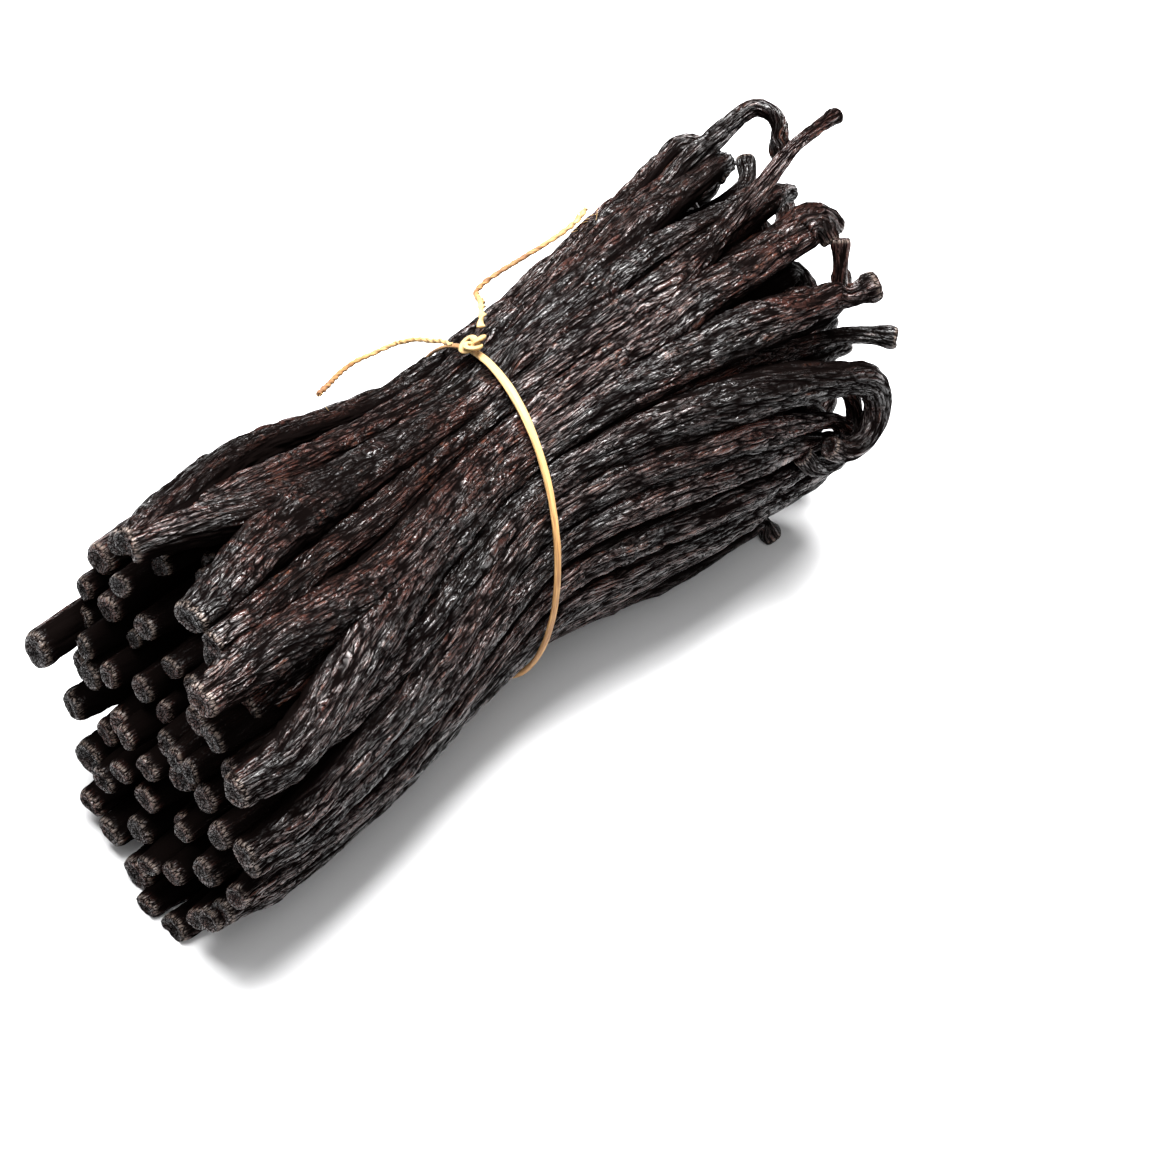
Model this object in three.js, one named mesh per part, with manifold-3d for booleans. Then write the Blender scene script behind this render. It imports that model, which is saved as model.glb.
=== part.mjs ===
// A bundle of cured vanilla pods held by one turn of raffia, lying on its side.
// Millimetres. X runs along the bundle, from the blunt blossom ends at -X to the thin, hooked stem
// ends at +X. Y is across, with the front at -Y, and Z is up from the table.
// While the pieces are made the tie stands at x = 0, y = 0; the group then centres the whole on its foot.

import * as THREE from 'three';
import { mergeVertices } from 'three/addons/utils/BufferGeometryUtils.js';
import Module from 'manifold-3d';

const wasm = await Module();
wasm.setup();

// ---- driving dimensions ----

// The bundle's outline is an ellipse, tight at the tie and flared at both ends.
const waist = { halfWidth: 26.5, halfHeight: 28.5, centreY: 0, centreZ: 31 };
const bluntEnd = { x: -72, halfWidth: 34, halfHeight: 35.5, centreY: -3, centreZ: 34 };
const stemEnd = { x: 80, halfWidth: 31, halfHeight: 35, centreY: -3, centreZ: 34 };

// The pods slid over each other before they were tied, so both ends and the tie lean the same way:
// x grows by these amounts for each millimetre towards the back and upwards.
const lean = { perY: 0.28, perZ: 0.2 };

// A pod's widest section, and how far it narrows at its blunt tip, at its stem and under the tie.
const pod = { width: 9, thickness: 6.8, tipShare: 0.62, stemShare: 0.42, waistShare: 0.8 };
const tipLength = 13;
const stemTaper = 30;
const waistReach = 26;

// The bare stem past the body's end: its width in stem shares and its knob's, how round it is, and
// how finely its turn is cut. Its first direction is the body's over its last few millimetres.
const stem = { thin: 0.95, knob: 1.2, roundness: 0.9, fewestSteps: 2, stepAngle: 35, lookBack: 4 };

// Rings of pods from the outside in: how many, how far out, their size against the widest pod, and
// the sides of a pod's section. The outermost ring is the back and the underside, which the pods
// listed below close at the front and the top.
const rings = [
  { count: 10, out: 0.88, size: 0.94, sides: 5 },
  { count: 16, out: 0.66, size: 0.88, sides: 5 },
  { count: 10, out: 0.445, size: 0.88, sides: 4 },
  { count: 6, out: 0.24, size: 0.84, sides: 4 },
  { count: 2, out: 0.07, size: 0.82, sides: 4 },
];
const hiddenArc = { from: 115, span: 177, flare: 14, reach: 8, steps: 6, stemShort: 12 };
const innerPods = { reach: 2, stemShort: 17 };

// The pods underneath have settled onto the table: from how steeply below the middle, how far their
// undersides are pressed flat, and the most that one can drop.
const settling = { fromSteepness: 0.8, press: 0.5, most: 3.5 };

// How uneven the pods of the rings are, each way from the middle value, and their stems' curls.
const uneven = { sway: 5, blunt: 4, stem: 5, size: 0.06 };
const ringCurl = { length: 11, lengthEither: 5, turn: 70, turnEither: 60, along: 0.3 };

// The pods listed one by one: their size against the widest pod, sides and steps.
const frontPod = { size: 1, sides: 6, steps: 7 };
const strayPod = { size: 0.9, sides: 6, steps: 6 };

// The solid middle of the bundle, and how far the inner pods' ends are sunk into it.
const core = { inset: 3.6, from: -60, to: 62, sides: 14, steps: 5 };
const buried = 12;

// The raffia is a flat strand round the waist. Every clearance round it is the gap.
const raffia = { width: 2.3, thickness: 1, proud: 0.35, gap: 0.35, sides: 6, steps: 40 };
const knot = { x: 7, angle: -18, length: 5.4, breadth: 4.4, height: 3, lobes: 3, lobeDepth: 0.14 };
const knotFacets = { round: 14, down: 8 };
const tail = { diameter: 1.3, sides: 8, diametersPerStep: 2.5 };

const table = { length: 400, width: 200, depth: 40 };

const podBrown = { color: 0x2b1b15, roughness: 0.45, metalness: 0 };
const straw = { color: 0xc9a468, roughness: 0.75, metalness: 0 };

// ---- the outer pods that lie along the front and the top ----
// angles: where the pod lies round the bundle at five stations from the blunt end to the stem end,
// in degrees from the top towards the front. blunt and stem: how far its two ends reach past the
// common slope. lift: how far it stands proud of its ring at the same stations. curl: how the stem
// turns, see stemPath.
const frontPods = [
  { angles: [-22, -42, -52, -50, -47], blunt: 2, stem: -20, lift: [1, 3, 0.5, 0.5, 8],
    curl: { length: 9, turn: 130, toward: [0.2, -1, -0.4] } },
  { angles: [-18, -8, -14, -29, -44], blunt: 8, stem: -22, lift: [0, 0, 0, 0.5, 4],
    curl: { length: 8, turn: 80, toward: [0, -1, -0.5] } },
  { angles: [-8, -3, -30, -38, -38], blunt: 0, stem: -23, lift: [0, -3, -6, -2, 5],
    curl: { length: 27, turn: 165, toward: [0.5, -0.2, -0.9], rise: 0.5 } },
  { angles: [16, 8, 1, -10, -12], blunt: -2, stem: -22, lift: [1, 0.6, 0.4, 0.6, 0.6],
    curl: { length: 6, turn: 40, toward: [0, 0, -1] } },
  { angles: [26, 20, 12, 12, -1], blunt: 7, stem: -28, lift: [0, -1, -1.5, 0, 0.5],
    curl: { length: 31, turn: -8, toward: [0, -1, 0], rise: 0.16 } },
  { angles: [37, 35, 24, 24, 24], blunt: -5, stem: -15, lift: [0.4, 0.4, 0.4, 0.4, 0.4],
    curl: { length: 17, turn: 125, toward: [0.1, 0, -1] } },
  { angles: [61, 43, 35, 37, 51], blunt: -2, stem: -13, lift: [1, 0.8, 0.4, 0.6, 0.4],
    curl: { length: 9, turn: 15, toward: [0, 0, 1] } },
  { angles: [66, 58, 45, 56, 83], blunt: 14, stem: -9, lift: [0, 0, 0, 1, 1],
    curl: { length: 27, turn: 160, toward: [0.2, -0.3, -1] } },
  { angles: [79, 67, 53, 70, 94], blunt: -1, stem: -14, lift: [0.4, 0, 0, 0, 0],
    curl: { length: 7, turn: 30, toward: [0, 0, -1] } },
  { angles: [88, 76, 65, 77, 101], blunt: 2, stem: -12, lift: [0, 0, 0, 0, 0],
    curl: { length: 6, turn: 20, toward: [0, 0, -1] } },
  { angles: [102, 89, 79, 92, 110], blunt: 1, stem: -11, lift: [0, 0, 0, 0, 0],
    curl: { length: 6, turn: 20, toward: [0, 1, 0] } },
  { angles: [122, 117, 98, 110, 122], blunt: 2, stem: -10, lift: [0, 0, 0, 0, 0],
    curl: { length: 6, turn: 20, toward: [0, 1, 0] } },
];

// Two more at the stem end rise from under their neighbours: the small curl inside the big one, and
// a short stub. The last one strays out at the back of the blunt end.
const strayPods = [
  { angles: [70, 62, 49, 62, 88], blunt: 24, stem: -12, out: 0.8, lift: [0, 0, 0, 0, 0],
    curl: { length: 30, turn: 225, toward: [0, -0.35, -1] } },
  { angles: [50, 48, 40, 50, 67], blunt: 20, stem: -13, out: 0.72, lift: [0, 0, 0, 0, 0],
    curl: { length: 13, turn: 42, toward: [0, -1, 0] } },
  { angles: [-97, -88, -78, -76, -74], blunt: -16, stem: -10, out: 0.86, lift: [0, 0, 0, 0, 0],
    curl: { length: 9, turn: 60, toward: [0, 1, 0] } },
];

const stations = [bluntEnd.x, bluntEnd.x / 2, 0, stemEnd.x / 2, stemEnd.x];

// ---- where things lie ----

const radians = THREE.MathUtils.degToRad;
const blend = THREE.MathUtils.lerp;
const ease = (t) => THREE.MathUtils.smoothstep(t, 0, 1);

// An even, repeatable scatter between -1 and 1. Each use of it has its own salt.
const goldenStep = 0.6180339887;
const secondStep = 0.7548776662;
const scatter = (i, salt) => ((i * goldenStep + salt * secondStep) % 1) * 2 - 1;
const salts = { sway: 1, blunt: 11, stem: 17, size: 23, length: 29, turn: 31, across: 37, up: 41 };

function outlineAt(x) {
  const end = x < 0 ? bluntEnd : stemEnd;
  const t = Math.min(1, x / end.x);
  const k = x < 0 ? ease(t) : 1 - (1 - t) ** 2;
  return {
    halfWidth: blend(waist.halfWidth, end.halfWidth, k),
    halfHeight: blend(waist.halfHeight, end.halfHeight, k),
    centreY: blend(waist.centreY, end.centreY, k),
    centreZ: blend(waist.centreZ, end.centreZ, k),
  };
}

// The point at an angle from the top towards the front, at a share of the outline plus a distance.
function pointAt(x, angle, share, proud = 0) {
  const outline = outlineAt(x);
  const a = radians(angle);
  const y = outline.centreY - (share * outline.halfWidth + proud) * Math.sin(a);
  const z = outline.centreZ + (share * outline.halfHeight + proud) * Math.cos(a);
  return new THREE.Vector3(x, y, z);
}

const leanAt = (x, angle, share) => {
  const p = pointAt(x, angle, share);
  const outline = outlineAt(x);
  return lean.perY * (p.y - outline.centreY) + lean.perZ * (p.z - outline.centreZ);
};

// A smooth value at x, from its values at the five stations.
function valueAt(values, x) {
  const half = (x < 0 ? -bluntEnd.x : stemEnd.x) / 2;
  const place = THREE.MathUtils.clamp(2 + x / half, 0, 4);
  const curve = new THREE.SplineCurve(values.map((value, i) => new THREE.Vector2(i, value)));
  return curve.getPoint(place / 4).y;
}

// ---- pods ----

// Pods listed by hand are made in full, like those of the outermost ring. Of the inner ones only the
// two ends stand clear of the core.
function allPods() {
  const front = frontPods.map((p) => ({ ...p, ...frontPod, out: rings[0].out }));
  const strays = strayPods.map((p) => ({ ...p, ...strayPod }));
  return [...front, ...strays, ...rings.flatMap(ringPods)];
}

function ringPods(ring, r) {
  const hidden = r === 0;
  const middle = (stations.length - 1) / 2;
  return Array.from({ length: ring.count }, (_, i) => {
    const share = i / (ring.count - 1);
    const spread = hidden ? hiddenArc.from + hiddenArc.span * share : (360 * (i + 0.5)) / ring.count;
    const flare = hidden ? (1 - share) * hiddenArc.flare : 0;
    const reach = hidden ? hiddenArc.reach * Math.sin(Math.PI * share) : innerPods.reach;
    const stemShort = hidden ? hiddenArc.stemShort : innerPods.stemShort;
    const vary = (salt) => scatter(i, salt + r);
    const flared = (s) => (flare * Math.abs(s - middle)) / middle;
    return {
      angles: stations.map((_, s) => spread + flared(s) + uneven.sway * vary(salts.sway + s)),
      blunt: uneven.blunt * vary(salts.blunt) - reach,
      stem: uneven.stem * vary(salts.stem) - stemShort,
      lift: stations.map((x) => (hidden ? settledAt(x, spread, ring.out) : 0)),
      out: ring.out,
      size: ring.size * (1 + uneven.size * vary(salts.size)),
      sides: ring.sides,
      steps: hidden ? hiddenArc.steps : 0,
      curl: {
        length: ringCurl.length + ringCurl.lengthEither * vary(salts.length),
        turn: ringCurl.turn + ringCurl.turnEither * vary(salts.turn),
        toward: [ringCurl.along, vary(salts.across), vary(salts.up)],
      },
    };
  });
}

const tiedAt = (x) => Math.exp(-((x / waistReach) ** 2));

// How far a pod of the underside stands out of its ring to lie on the table, which the tie prevents.
function settledAt(x, angle, share) {
  const steepness = -Math.cos(radians(angle));
  if (steepness < settling.fromSteepness) return 0;
  const outline = outlineAt(x);
  const toTable = (outline.centreZ - pod.thickness / 2 + settling.press) / steepness;
  const drop = THREE.MathUtils.clamp(toTable - share * outline.halfHeight, 0, settling.most);
  return drop * (1 - tiedAt(x));
}

const bodyPoint = (p, x) => pointAt(x, valueAt(p.angles, x), p.out, valueAt(p.lift, x));

// The stem leaves the body's end along its run, raised a little, and turns evenly towards a side.
function stemPath(p, endX) {
  const start = bodyPoint(p, endX);
  const run = start.clone().sub(bodyPoint(p, endX - stem.lookBack)).normalize();
  run.add(new THREE.Vector3(0, 0, p.curl.rise ?? 0)).normalize();
  const toward = new THREE.Vector3(...p.curl.toward);
  const side = toward.addScaledVector(run, -toward.dot(run)).normalize();
  const points = [];
  const at = start.clone();
  const steps = Math.max(stem.fewestSteps, Math.round(Math.abs(p.curl.turn) / stem.stepAngle));
  for (let i = 1; i <= steps; i += 1) {
    const turned = radians(p.curl.turn) * ((i - 0.5) / steps);
    at.addScaledVector(run, (Math.cos(turned) * p.curl.length) / steps);
    at.addScaledVector(side, (Math.sin(turned) * p.curl.length) / steps);
    points.push(at.clone());
  }
  return points;
}

// The points and half sizes of a pod between two places of its body, with its stem if it has one.
function podRun(p, fromX, toX, steps, withStem) {
  const tipX = bluntTip(p);
  const endX = stemTip(p);
  const full = pod.width * p.size / 2;
  const rows = [];
  for (let i = 0; i <= steps; i += 1) {
    const x = blend(fromX, toX, i / steps);
    const tip = blend(pod.tipShare, 1, ease(THREE.MathUtils.clamp((x - tipX) / tipLength, 0, 1)));
    const thinned = blend(pod.stemShare, 1, ease(THREE.MathUtils.clamp((endX - x) / stemTaper, 0, 1)));
    const tied = blend(1, pod.waistShare, tiedAt(x));
    const half = full * tip * thinned * tied;
    rows.push({ at: bodyPoint(p, x), half, flat: pod.thickness / pod.width });
  }
  if (withStem) {
    stemPath(p, endX).forEach((at, i, path) => {
      const share = i === path.length - 1 ? stem.knob : stem.thin;
      rows.push({ at, half: full * pod.stemShare * share, flat: stem.roundness });
    });
  }
  return rows;
}

const bluntTip = (p) => bluntEnd.x + leanAt(bluntEnd.x, p.angles[0], p.out) + p.blunt;
const stemTip = (p) => stemEnd.x + leanAt(stemEnd.x, p.angles[4], p.out) + p.stem;

// ---- geometry helpers ----

function closed(geometry) {
  geometry.deleteAttribute('normal');
  geometry.deleteAttribute('uv');
  return mergeVertices(geometry);
}

// Bends an upright cylinder along rows of points, each with its own half width and flatness.
function loft(rows, sides, wide) {
  const steps = rows.length - 1;
  const geometry = closed(new THREE.CylinderGeometry(1, 1, 1, sides, steps));
  const place = geometry.getAttribute('position');
  for (let i = 0; i < place.count; i += 1) {
    const row = Math.round((place.getY(i) + 0.5) * steps);
    const { at, half, flat } = rows[row];
    const before = rows[Math.max(0, row - 1)].at;
    const after = rows[Math.min(steps, row + 1)].at;
    const run = after.clone().sub(before).normalize();
    const side = wide(at).cross(run).normalize();
    const up = side.clone().cross(run);
    const p = at.clone();
    p.addScaledVector(side, place.getX(i) * half);
    p.addScaledVector(up, place.getZ(i) * half * flat);
    place.setXYZ(i, p.x, p.y, p.z);
  }
  return geometry;
}

// A pod lies flat against the bundle, so its thin way points out from the bundle's axis.
const outward = (at) => {
  const outline = outlineAt(at.x);
  return new THREE.Vector3(0.01, outline.centreY - at.y + 0.01, outline.centreZ - at.z);
};

function solid(geometry) {
  return new wasm.Manifold(new wasm.Mesh({
    numProp: 3,
    vertProperties: new Float32Array(geometry.getAttribute('position').array),
    triVerts: new Uint32Array(geometry.getIndex().array),
  }));
}

function geometryOf(body) {
  const mesh = body.getMesh();
  const geometry = new THREE.BufferGeometry();
  geometry.setAttribute('position', new THREE.BufferAttribute(mesh.vertProperties, 3));
  geometry.setIndex(new THREE.BufferAttribute(mesh.triVerts, 1));
  return geometry;
}

// ---- the raffia ----

// One turn round the waist: a ring bent onto the outline, leaning like the ends. spare is how much
// larger than the strand it is made on every side.
function tieRing(spare = 0) {
  const width = raffia.width + 2 * spare;
  const thickness = raffia.thickness + 2 * spare;
  const tube = 0.1;
  const geometry = closed(new THREE.TorusGeometry(1, tube, raffia.sides, raffia.steps));
  const place = geometry.getAttribute('position');
  for (let i = 0; i < place.count; i += 1) {
    const angle = THREE.MathUtils.radToDeg(Math.atan2(place.getY(i), place.getX(i)));
    const out = (Math.hypot(place.getX(i), place.getY(i)) - 1) / tube;
    const along = place.getZ(i) / tube;
    const p = pointAt(0, angle, 1, raffia.proud + (out * thickness) / 2);
    p.x = leanAt(0, angle, 1) + (along * width) / 2;
    place.setXYZ(i, p.x, p.y, p.z);
  }
  return geometry;
}

// The overhand knot: a small ball pinched into lobes where the strands cross.
function knotBall(spare = 0) {
  const geometry = closed(new THREE.SphereGeometry(1, knotFacets.round, knotFacets.down));
  const place = geometry.getAttribute('position');
  for (let i = 0; i < place.count; i += 1) {
    const x = place.getX(i);
    const y = place.getY(i);
    const lobe = 1 + knot.lobeDepth * Math.cos(knot.lobes * Math.atan2(y, x));
    const longWay = x * (lobe * knot.length / 2 + spare);
    const broadWay = y * (lobe * knot.breadth / 2 + spare);
    place.setXYZ(i, longWay, broadWay, place.getZ(i) * (knot.height / 2 + spare));
  }
  const centre = pointAt(knot.x, knot.angle, 1, knot.height / 2 + raffia.proud);
  geometry.rotateX(-radians(knot.angle));
  geometry.translate(centre.x, centre.y, centre.z);
  return geometry;
}

// The tails' routes as places on the outline: x, angle, and the height of the strand's middle over it.
const leftTail = [
  [5.2, -25, 1.6], [5.6, -28.5, 1.5], [6, -32, 1.5], [6.2, -36, 1.5], [6.3, -40, 1.7],
  [6.1, -43.5, 2.4], [5.6, -47, 3.2], [4.7, -49.8, 3.9], [3.5, -52, 4.6], [0, -53.5, 5.6],
  [-4, -52, 5.9], [-8, -49, 5.6], [-11.5, -46, 5], [-14.5, -44, 4.3], [-17, -43, 3.8],
];
const rightTail = [
  [10.5, -21, 1.7], [11.7, -23.5, 1.6], [13, -26, 1.6], [14.2, -29, 1.6], [15.5, -32, 1.6],
  [16.8, -35.5, 1.6], [18, -39, 1.6], [20, -46, 1.9], [22, -51, 2.7], [25, -52.5, 3.1],
  [29, -52, 2.9], [33, -51, 2.5], [37.5, -50, 2.1], [42, -50, 1.9], [46, -50, 2.1], [49, -50, 2.9],
];

function tailTube(route, spare = 0) {
  const curve = new THREE.CatmullRomCurve3(route.map(([x, angle, proud]) => pointAt(x, angle, 1, proud)));
  const radius = tail.diameter / 2 + spare;
  const section = new THREE.Shape(Array.from({ length: tail.sides }, (_, i) => {
    const a = (2 * Math.PI * i) / tail.sides;
    return new THREE.Vector2(Math.cos(a) * radius, Math.sin(a) * radius);
  }));
  const steps = Math.round(curve.getLength() / (tail.diametersPerStep * tail.diameter));
  return closed(new THREE.ExtrudeGeometry(section, { steps, extrudePath: curve, bevelEnabled: false }));
}

// ---- the bundle's one solid ----

function coreLoft() {
  const rows = [];
  for (let i = 0; i <= core.steps; i += 1) {
    const x = blend(core.from, core.to, i / core.steps);
    const outline = outlineAt(x);
    const at = new THREE.Vector3(x, outline.centreY, outline.centreZ);
    const half = outline.halfWidth - core.inset;
    rows.push({ at, half, flat: (outline.halfHeight - core.inset) / half });
  }
  const geometry = loft(rows, core.sides, () => new THREE.Vector3(0, 0, 1));
  const place = geometry.getAttribute('position');
  for (let i = 0; i < place.count; i += 1) {
    const outline = outlineAt(place.getX(i));
    const y = place.getY(i) - outline.centreY;
    const z = place.getZ(i) - outline.centreZ;
    place.setX(i, place.getX(i) + lean.perY * y + lean.perZ * z);
  }
  return solid(geometry);
}

function podBundle() {
  let body = coreLoft();
  for (const p of allPods()) {
    const tipX = bluntTip(p);
    const endX = stemTip(p);
    if (p.steps > 0) {
      body = body.add(solid(loft(podRun(p, tipX, endX, p.steps, true), p.sides, outward)));
    } else {
      const inner = leanAt(0, p.angles[2], p.out);
      const bluntRows = podRun(p, tipX, core.from + inner + buried, 1, false);
      const stemRows = podRun(p, core.to + inner - buried, endX, 1, true);
      body = body.add(solid(loft(bluntRows, p.sides, outward)));
      body = body.add(solid(loft(stemRows, p.sides, outward)));
    }
  }
  for (const tool of [tableBlock(), tieRing(raffia.gap), knotBall(raffia.gap), ...tailClearances()]) {
    body = body.subtract(solid(tool));
  }
  return body;
}

// The pods that lie lowest are flat where they rest on the table.
function tableBlock() {
  const block = new THREE.BoxGeometry(table.length, table.width, table.depth);
  block.translate(0, 0, -table.depth / 2);
  return closed(block);
}

const tailClearances = () => [leftTail, rightTail].map((route) => tailTube(route, raffia.gap));

// ---- the model ----

function part(name, geometry, finish) {
  const mesh = new THREE.Mesh(geometry, new THREE.MeshStandardMaterial(finish));
  mesh.name = name;
  return mesh;
}

const knotBody = solid(knotBall()).subtract(solid(tieRing(raffia.gap)));

const held = [
  part('pod_bundle', geometryOf(podBundle()), podBrown),
  part('raffia_tie', tieRing(), straw),
  part('raffia_knot', geometryOf(knotBody), straw),
];
const tails = [
  part('raffia_tail_left', tailTube(leftTail), straw),
  part('raffia_tail_right', tailTube(rightTail), straw),
];

const bundle = new THREE.Group();
bundle.add(...held);
const foot = new THREE.Box3().setFromObject(bundle);
bundle.add(...tails);
bundle.position.set(-(foot.min.x + foot.max.x) / 2, -(foot.min.y + foot.max.y) / 2, -foot.min.z);

export default bundle;
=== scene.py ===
import math
import bpy
import numpy as np
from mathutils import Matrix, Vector


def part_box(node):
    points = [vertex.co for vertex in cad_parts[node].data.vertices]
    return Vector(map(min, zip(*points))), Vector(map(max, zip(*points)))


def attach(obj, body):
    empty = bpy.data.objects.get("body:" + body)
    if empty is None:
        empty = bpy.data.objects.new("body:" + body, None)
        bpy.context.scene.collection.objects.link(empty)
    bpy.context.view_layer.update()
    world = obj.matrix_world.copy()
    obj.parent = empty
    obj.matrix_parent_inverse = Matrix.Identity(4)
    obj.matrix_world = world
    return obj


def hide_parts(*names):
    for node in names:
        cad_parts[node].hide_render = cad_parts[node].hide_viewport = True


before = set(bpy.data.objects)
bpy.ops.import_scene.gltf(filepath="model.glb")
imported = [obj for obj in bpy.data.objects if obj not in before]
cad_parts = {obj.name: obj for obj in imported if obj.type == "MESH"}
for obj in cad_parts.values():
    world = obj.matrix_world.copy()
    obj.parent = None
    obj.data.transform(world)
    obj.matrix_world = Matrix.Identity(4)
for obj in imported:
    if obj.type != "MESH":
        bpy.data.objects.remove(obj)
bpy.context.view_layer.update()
mm = 0.001

# Bundle coordinates are millimetres: x along the pods from the tie, y to the back, z up from the table.
tieLow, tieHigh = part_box("raffia_tie")
tieFoot = np.array([(tieLow.x + tieHigh.x) / 2, (tieLow.y + tieHigh.y) / 2, 0.0])


def inFrame(points):
    return np.asarray(points, float) * mm + tieFoot


class Wire:
    # one output of a node; sums and products on it add Math nodes
    def __init__(self, graph, socket):
        self.graph = graph
        self.socket = socket

    def out(self, name):
        return Wire(self.graph, self.socket.node.outputs[name])

    def math(self, operation, *others):
        values = dict(enumerate((self, *others)))
        return self.graph.add("ShaderNodeMath", {"operation": operation}, values)

    def __add__(self, other):
        return self.math("ADD", other)

    def __sub__(self, other):
        return self.math("SUBTRACT", other)

    def __mul__(self, other):
        return self.math("MULTIPLY", other)

    def __truediv__(self, other):
        return self.math("DIVIDE", other)

    def __pow__(self, other):
        return self.math("POWER", other)

    def __abs__(self):
        return self.math("ABSOLUTE")

    def __rsub__(self, other):
        return self.graph.add("ShaderNodeMath", {"operation": "SUBTRACT"}, {0: other, 1: self})

    def __rtruediv__(self, other):
        return self.graph.add("ShaderNodeMath", {"operation": "DIVIDE"}, {0: other, 1: self})

    __radd__ = __add__

    def least(self, other):
        return self.math("MINIMUM", other)

    def most(self, other):
        return self.math("MAXIMUM", other)

    def ramp(self, low, high):
        # 0 below low, 1 above high, eased between
        settings = {"interpolation_type": "SMOOTHSTEP"}
        return self.graph.add("ShaderNodeMapRange", settings, {0: self, 1: low, 2: high})


# how far a seed slides a pattern of cells, and how steeply a cell swells from its crease
cellShape = {"slide": 17.3, "swell": 2.6}


class Graph:
    def __init__(self, tree):
        self.tree = tree

    def add(self, kind, settings=None, values=None, output=0):
        node = self.tree.nodes.new(kind)
        for name, value in (settings or {}).items():
            if name == "curve":
                fillCurve(node.mapping, value)
            elif name == "captures":
                for label, dataType in value.items():
                    node.capture_items.new(dataType, label)
            else:
                setattr(node, name, value)
        for name, value in (values or {}).items():
            if isinstance(value, Wire):
                self.tree.links.new(value.socket, node.inputs[name])
            else:
                node.inputs[name].default_value = value
        return Wire(self, node.outputs[output]) if node.outputs else None

    def vector(self, operation, *values):
        return self.add("ShaderNodeVectorMath", {"operation": operation}, dict(enumerate(values)))

    def scaled(self, vector, factor):
        return self.add("ShaderNodeVectorMath", {"operation": "SCALE"}, {0: vector, 3: factor})

    def xyz(self, x, y, z):
        return self.add("ShaderNodeCombineXYZ", {}, {0: x, 1: y, 2: z})

    def split(self, vector):
        parts = self.add("ShaderNodeSeparateXYZ", {}, {0: vector})
        return parts, parts.out("Y"), parts.out("Z")

    def noise(self, vector, seed, detail=2.0, roughness=0.5):
        values = {"Vector": vector, "W": seed, "Scale": 1.0, "Detail": detail, "Roughness": roughness}
        return self.add("ShaderNodeTexNoise", {"noise_dimensions": "4D"}, values)

    def cells(self, vector, seed):
        # stretched cells that swell between creases; the seed slides the pattern along the pod
        apart = self.vector("ADD", vector, self.xyz(0.0, 0.0, seed * cellShape["slide"]))
        settings = {"feature": "DISTANCE_TO_EDGE"}
        values = {"Vector": apart, "Scale": 1.0, "Randomness": 1.0}
        edge = self.add("ShaderNodeTexVoronoi", settings, values)
        return 1 - (1 - (edge * cellShape["swell"]).least(1.0)) ** 2

    def mix(self, factor, a, b):
        return self.add("ShaderNodeMix", {"data_type": "RGBA"}, {0: factor, 6: a, 7: b}, 2)

    def inputs(self, sockets):
        # the tree's geometry and its named sizes
        faces = self.tree.interface
        faces.new_socket("Geometry", in_out="INPUT", socket_type="NodeSocketGeometry")
        faces.new_socket("Geometry", in_out="OUTPUT", socket_type="NodeSocketGeometry")
        for name, value in sockets.items():
            kind = "NodeSocketInt" if isinstance(value, int) else "NodeSocketFloat"
            faces.new_socket(name, in_out="INPUT", socket_type=kind).default_value = value
        return self.add("NodeGroupInput")


def fillCurve(mapping, points):
    curve = mapping.curves[0]
    while len(curve.points) < len(points):
        curve.points.new(0.5, 0.5)
    for point, (x, y) in zip(curve.points, points):
        point.location = (x, y)
    mapping.use_clip = False
    mapping.update()


outline = {
    "waist": {"x": 0, "halfWidth": 26.5, "halfHeight": 28.5, "centreY": 0, "centreZ": 31},
    "blunt": {"x": -72, "halfWidth": 34, "halfHeight": 35.5, "centreY": -3, "centreZ": 34},
    "stem": {"x": 80, "halfWidth": 31, "halfHeight": 35, "centreY": -3, "centreZ": 34},
    "leanY": 0.28,
    "leanZ": 0.2,
    "waistReach": 26,
}
bluntX = outline["blunt"]["x"]
stemX = outline["stem"]["x"]
stations = [bluntX, bluntX / 2, 0, stemX / 2, stemX]


def smooth(t):
    t = np.clip(t, 0, 1)
    return t * t * (3 - 2 * t)


def outlineAt(x):
    # half width, half height, centre y and centre z of the bundle's section
    x = np.asarray(x, float)
    towardBlunt = smooth(x / bluntX)
    towardStem = 1 - (1 - np.clip(x / stemX, 0, 1)) ** 2
    share = np.where(x < 0, towardBlunt, towardStem)
    values = []
    for name in ("halfWidth", "halfHeight", "centreY", "centreZ"):
        end = np.where(x < 0, outline["blunt"][name], outline["stem"][name])
        values.append(outline["waist"][name] * (1 - share) + end * share)
    return values


def pointAt(x, angle, share, proud=0.0):
    # angle is in degrees from the top towards the front
    halfWidth, halfHeight, centreY, centreZ = outlineAt(x)
    a = np.radians(angle)
    y = centreY - (share * halfWidth + proud) * np.sin(a)
    z = centreZ + (share * halfHeight + proud) * np.cos(a)
    return np.stack(np.broadcast_arrays(x, y, z), axis=-1).astype(float)


def leanAt(x, angle, share):
    y, z = pointAt(x, angle, share)[..., 1:].T
    centreY, centreZ = outlineAt(x)[2:]
    return outline["leanY"] * (y - centreY) + outline["leanZ"] * (z - centreZ)


def valueAt(values, x):
    # a smooth value at x from its values at the five stations
    x = np.asarray(x, float)
    place = np.clip(2 + x / np.where(x < 0, -bluntX / 2, stemX / 2), 0, 4)
    return catmullRom(np.asarray(values, float), place)


def catmullRom(values, place):
    last = len(values) - 1
    i = np.clip(np.floor(place).astype(int), 0, last - 1)
    t = place - i
    if values.ndim > 1:
        t = t[:, None]
    a, b, c, d = (values[np.clip(i + k, 0, last)] for k in (-1, 0, 1, 2))
    square = (2 * a - 5 * b + 4 * c - d) * t ** 2
    cube = (3 * b - a - 3 * c + d) * t ** 3
    return 0.5 * (2 * b + (c - a) * t + square + cube)


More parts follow.
